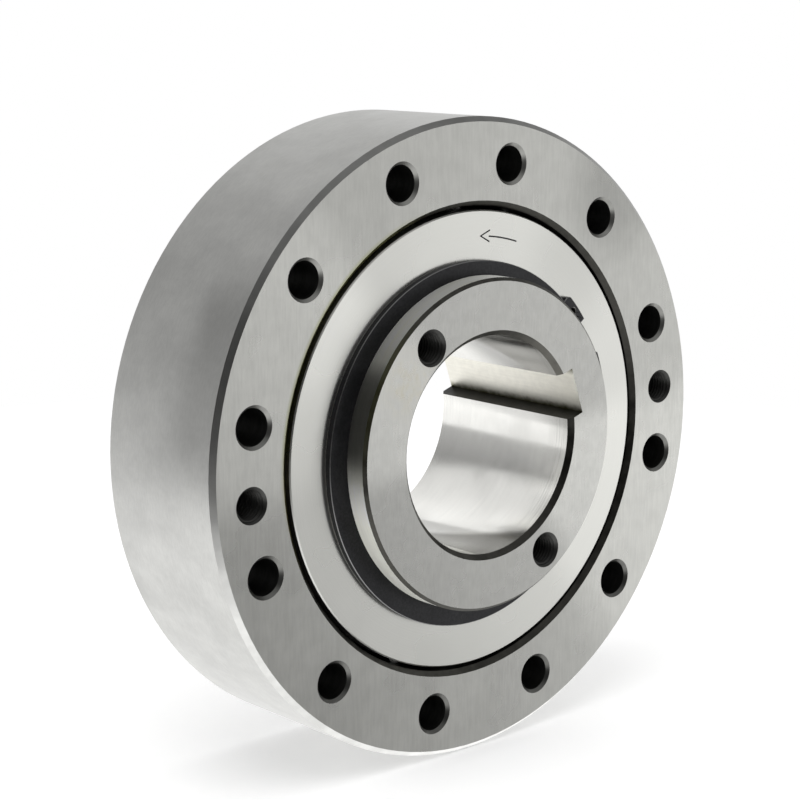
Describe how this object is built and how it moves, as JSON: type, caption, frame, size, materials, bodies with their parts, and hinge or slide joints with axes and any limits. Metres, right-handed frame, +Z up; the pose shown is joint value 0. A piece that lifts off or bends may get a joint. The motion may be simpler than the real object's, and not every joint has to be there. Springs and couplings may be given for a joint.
{
  "type": "sprag clutch",
  "caption": "Lift-off sprag clutch: a bolted outer race, a keyed inner race and a cage of sprung tilting sprags between them; it turns freely one way and locks the other.",
  "frame": {"origin": "on the clutch axis, in the plane of the outer race's back face, which bolts to the machine", "axes": "+Y along the clutch axis, out of the back face; the front with the hub faces -Y; +Z is up, with the sprags numbered counter-clockwise from the top as seen from the front"},
  "size_m": [0.322, 0.099, 0.322],
  "materials": {
    "race_steel": "fine ground and oiled steel",
    "hub_steel": "fine turned and oiled steel",
    "cage_steel": "bright satin ground steel",
    "pin_steel": "bright drawn steel",
    "black_spring_steel": "black oxide on spring steel",
    "sprag_steel": "ground hardened bearing steel",
    "spring_wire": "drawn spring wire"
  },
  "bodies": {
    "outer": {"outer_race": "race_steel"},
    "inner": {"inner_race": "hub_steel", "cage_front_ring": "cage_steel", "cage_rear_ring": "cage_steel", "cage_pins": "pin_steel", "front_circlip": "black_spring_steel", "rear_circlip": "black_spring_steel", "sprag_spring_01": "spring_wire", "sprag_spring_02": "spring_wire", "sprag_spring_03": "spring_wire", "sprag_spring_04": "spring_wire", "sprag_spring_05": "spring_wire", "sprag_spring_06": "spring_wire", "sprag_spring_07": "spring_wire", "sprag_spring_08": "spring_wire", "sprag_spring_09": "spring_wire", "sprag_spring_10": "spring_wire", "sprag_spring_11": "spring_wire", "sprag_spring_12": "spring_wire", "sprag_spring_13": "spring_wire", "sprag_spring_14": "spring_wire", "sprag_spring_15": "spring_wire", "sprag_spring_16": "spring_wire", "sprag_spring_17": "spring_wire", "sprag_spring_18": "spring_wire", "sprag_spring_19": "spring_wire", "sprag_spring_20": "spring_wire"},
    "sprag_01": {"sprag_01": "sprag_steel"},
    "sprag_02": {"sprag_02": "sprag_steel"},
    "sprag_03": {"sprag_03": "sprag_steel"},
    "sprag_04": {"sprag_04": "sprag_steel"},
    "sprag_05": {"sprag_05": "sprag_steel"},
    "sprag_06": {"sprag_06": "sprag_steel"},
    "sprag_07": {"sprag_07": "sprag_steel"},
    "sprag_08": {"sprag_08": "sprag_steel"},
    "sprag_09": {"sprag_09": "sprag_steel"},
    "sprag_10": {"sprag_10": "sprag_steel"},
    "sprag_11": {"sprag_11": "sprag_steel"},
    "sprag_12": {"sprag_12": "sprag_steel"},
    "sprag_13": {"sprag_13": "sprag_steel"},
    "sprag_14": {"sprag_14": "sprag_steel"},
    "sprag_15": {"sprag_15": "sprag_steel"},
    "sprag_16": {"sprag_16": "sprag_steel"},
    "sprag_17": {"sprag_17": "sprag_steel"},
    "sprag_18": {"sprag_18": "sprag_steel"},
    "sprag_19": {"sprag_19": "sprag_steel"},
    "sprag_20": {"sprag_20": "sprag_steel"}
  },
  "joints": [
    {"name": "overrun", "type": "hinge", "parent": "outer", "child": "inner", "pos_m": [0, 0, 0], "axis": [0, -1, 0], "continuous": true},
    {"name": "sprag_tilt_01", "type": "hinge", "parent": "inner", "child": "sprag_01", "pos_m": [-0.03262, 0, 0.10038], "axis": [0, 1, 0], "range_deg": [0, 15], "stiffness_Nm_per_rad": 0.1, "springref_deg": -28.65, "deforming": ["sprag_spring_01"]},
    {"name": "sprag_tilt_02", "type": "hinge", "parent": "inner", "child": "sprag_02", "pos_m": [-0.06204, 0, 0.08539], "axis": [0, 1, 0], "range_deg": [0, 15], "stiffness_Nm_per_rad": 0.1, "springref_deg": -28.65, "deforming": ["sprag_spring_02"]},
    {"name": "sprag_tilt_03", "type": "hinge", "parent": "inner", "child": "sprag_03", "pos_m": [-0.08539, 0, 0.06204], "axis": [0, 1, 0], "range_deg": [0, 15], "stiffness_Nm_per_rad": 0.1, "springref_deg": -28.65, "deforming": ["sprag_spring_03"]},
    {"name": "sprag_tilt_04", "type": "hinge", "parent": "inner", "child": "sprag_04", "pos_m": [-0.10038, 0, 0.03262], "axis": [0, 1, 0], "range_deg": [0, 15], "stiffness_Nm_per_rad": 0.1, "springref_deg": -28.65, "deforming": ["sprag_spring_04"]},
    {"name": "sprag_tilt_05", "type": "hinge", "parent": "inner", "child": "sprag_05", "pos_m": [-0.10555, 0, 0], "axis": [0, 1, 0], "range_deg": [0, 15], "stiffness_Nm_per_rad": 0.1, "springref_deg": -28.65, "deforming": ["sprag_spring_05"]},
    {"name": "sprag_tilt_06", "type": "hinge", "parent": "inner", "child": "sprag_06", "pos_m": [-0.10038, 0, -0.03262], "axis": [0, 1, 0], "range_deg": [0, 15], "stiffness_Nm_per_rad": 0.1, "springref_deg": -28.65, "deforming": ["sprag_spring_06"]},
    {"name": "sprag_tilt_07", "type": "hinge", "parent": "inner", "child": "sprag_07", "pos_m": [-0.08539, 0, -0.06204], "axis": [0, 1, 0], "range_deg": [0, 15], "stiffness_Nm_per_rad": 0.1, "springref_deg": -28.65, "deforming": ["sprag_spring_07"]},
    {"name": "sprag_tilt_08", "type": "hinge", "parent": "inner", "child": "sprag_08", "pos_m": [-0.06204, 0, -0.08539], "axis": [0, 1, 0], "range_deg": [0, 15], "stiffness_Nm_per_rad": 0.1, "springref_deg": -28.65, "deforming": ["sprag_spring_08"]},
    {"name": "sprag_tilt_09", "type": "hinge", "parent": "inner", "child": "sprag_09", "pos_m": [-0.03262, 0, -0.10038], "axis": [0, 1, 0], "range_deg": [0, 15], "stiffness_Nm_per_rad": 0.1, "springref_deg": -28.65, "deforming": ["sprag_spring_09"]},
    {"name": "sprag_tilt_10", "type": "hinge", "parent": "inner", "child": "sprag_10", "pos_m": [0, 0, -0.10555], "axis": [0, 1, 0], "range_deg": [0, 15], "stiffness_Nm_per_rad": 0.1, "springref_deg": -28.65, "deforming": ["sprag_spring_10"]},
    {"name": "sprag_tilt_11", "type": "hinge", "parent": "inner", "child": "sprag_11", "pos_m": [0.03262, 0, -0.10038], "axis": [0, 1, 0], "range_deg": [0, 15], "stiffness_Nm_per_rad": 0.1, "springref_deg": -28.65, "deforming": ["sprag_spring_11"]},
    {"name": "sprag_tilt_12", "type": "hinge", "parent": "inner", "child": "sprag_12", "pos_m": [0.06204, 0, -0.08539], "axis": [0, 1, 0], "range_deg": [0, 15], "stiffness_Nm_per_rad": 0.1, "springref_deg": -28.65, "deforming": ["sprag_spring_12"]},
    {"name": "sprag_tilt_13", "type": "hinge", "parent": "inner", "child": "sprag_13", "pos_m": [0.08539, 0, -0.06204], "axis": [0, 1, 0], "range_deg": [0, 15], "stiffness_Nm_per_rad": 0.1, "springref_deg": -28.65, "deforming": ["sprag_spring_13"]},
    {"name": "sprag_tilt_14", "type": "hinge", "parent": "inner", "child": "sprag_14", "pos_m": [0.10038, 0, -0.03262], "axis": [0, 1, 0], "range_deg": [0, 15], "stiffness_Nm_per_rad": 0.1, "springref_deg": -28.65, "deforming": ["sprag_spring_14"]},
    {"name": "sprag_tilt_15", "type": "hinge", "parent": "inner", "child": "sprag_15", "pos_m": [0.10555, 0, 0], "axis": [0, 1, 0], "range_deg": [0, 15], "stiffness_Nm_per_rad": 0.1, "springref_deg": -28.65, "deforming": ["sprag_spring_15"]},
    {"name": "sprag_tilt_16", "type": "hinge", "parent": "inner", "child": "sprag_16", "pos_m": [0.10038, 0, 0.03262], "axis": [0, 1, 0], "range_deg": [0, 15], "stiffness_Nm_per_rad": 0.1, "springref_deg": -28.65, "deforming": ["sprag_spring_16"]},
    {"name": "sprag_tilt_17", "type": "hinge", "parent": "inner", "child": "sprag_17", "pos_m": [0.08539, 0, 0.06204], "axis": [0, 1, 0], "range_deg": [0, 15], "stiffness_Nm_per_rad": 0.1, "springref_deg": -28.65, "deforming": ["sprag_spring_17"]},
    {"name": "sprag_tilt_18", "type": "hinge", "parent": "inner", "child": "sprag_18", "pos_m": [0.06204, 0, 0.08539], "axis": [0, 1, 0], "range_deg": [0, 15], "stiffness_Nm_per_rad": 0.1, "springref_deg": -28.65, "deforming": ["sprag_spring_18"]},
    {"name": "sprag_tilt_19", "type": "hinge", "parent": "inner", "child": "sprag_19", "pos_m": [0.03262, 0, 0.10038], "axis": [0, 1, 0], "range_deg": [0, 15], "stiffness_Nm_per_rad": 0.1, "springref_deg": -28.65, "deforming": ["sprag_spring_19"]},
    {"name": "sprag_tilt_20", "type": "hinge", "parent": "inner", "child": "sprag_20", "pos_m": [0, 0, 0.10555], "axis": [0, 1, 0], "range_deg": [0, 15], "stiffness_Nm_per_rad": 0.1, "springref_deg": -28.65, "deforming": ["sprag_spring_20"]}
  ],
  "couplings": [
    {"joint": "sprag_tilt_02", "follows": "sprag_tilt_01", "ratio": 1},
    {"joint": "sprag_tilt_03", "follows": "sprag_tilt_01", "ratio": 1},
    {"joint": "sprag_tilt_04", "follows": "sprag_tilt_01", "ratio": 1},
    {"joint": "sprag_tilt_05", "follows": "sprag_tilt_01", "ratio": 1},
    {"joint": "sprag_tilt_06", "follows": "sprag_tilt_01", "ratio": 1},
    {"joint": "sprag_tilt_07", "follows": "sprag_tilt_01", "ratio": 1},
    {"joint": "sprag_tilt_08", "follows": "sprag_tilt_01", "ratio": 1},
    {"joint": "sprag_tilt_09", "follows": "sprag_tilt_01", "ratio": 1},
    {"joint": "sprag_tilt_10", "follows": "sprag_tilt_01", "ratio": 1},
    {"joint": "sprag_tilt_11", "follows": "sprag_tilt_01", "ratio": 1},
    {"joint": "sprag_tilt_12", "follows": "sprag_tilt_01", "ratio": 1},
    {"joint": "sprag_tilt_13", "follows": "sprag_tilt_01", "ratio": 1},
    {"joint": "sprag_tilt_14", "follows": "sprag_tilt_01", "ratio": 1},
    {"joint": "sprag_tilt_15", "follows": "sprag_tilt_01", "ratio": 1},
    {"joint": "sprag_tilt_16", "follows": "sprag_tilt_01", "ratio": 1},
    {"joint": "sprag_tilt_17", "follows": "sprag_tilt_01", "ratio": 1},
    {"joint": "sprag_tilt_18", "follows": "sprag_tilt_01", "ratio": 1},
    {"joint": "sprag_tilt_19", "follows": "sprag_tilt_01", "ratio": 1},
    {"joint": "sprag_tilt_20", "follows": "sprag_tilt_01", "ratio": 1}
  ]
}
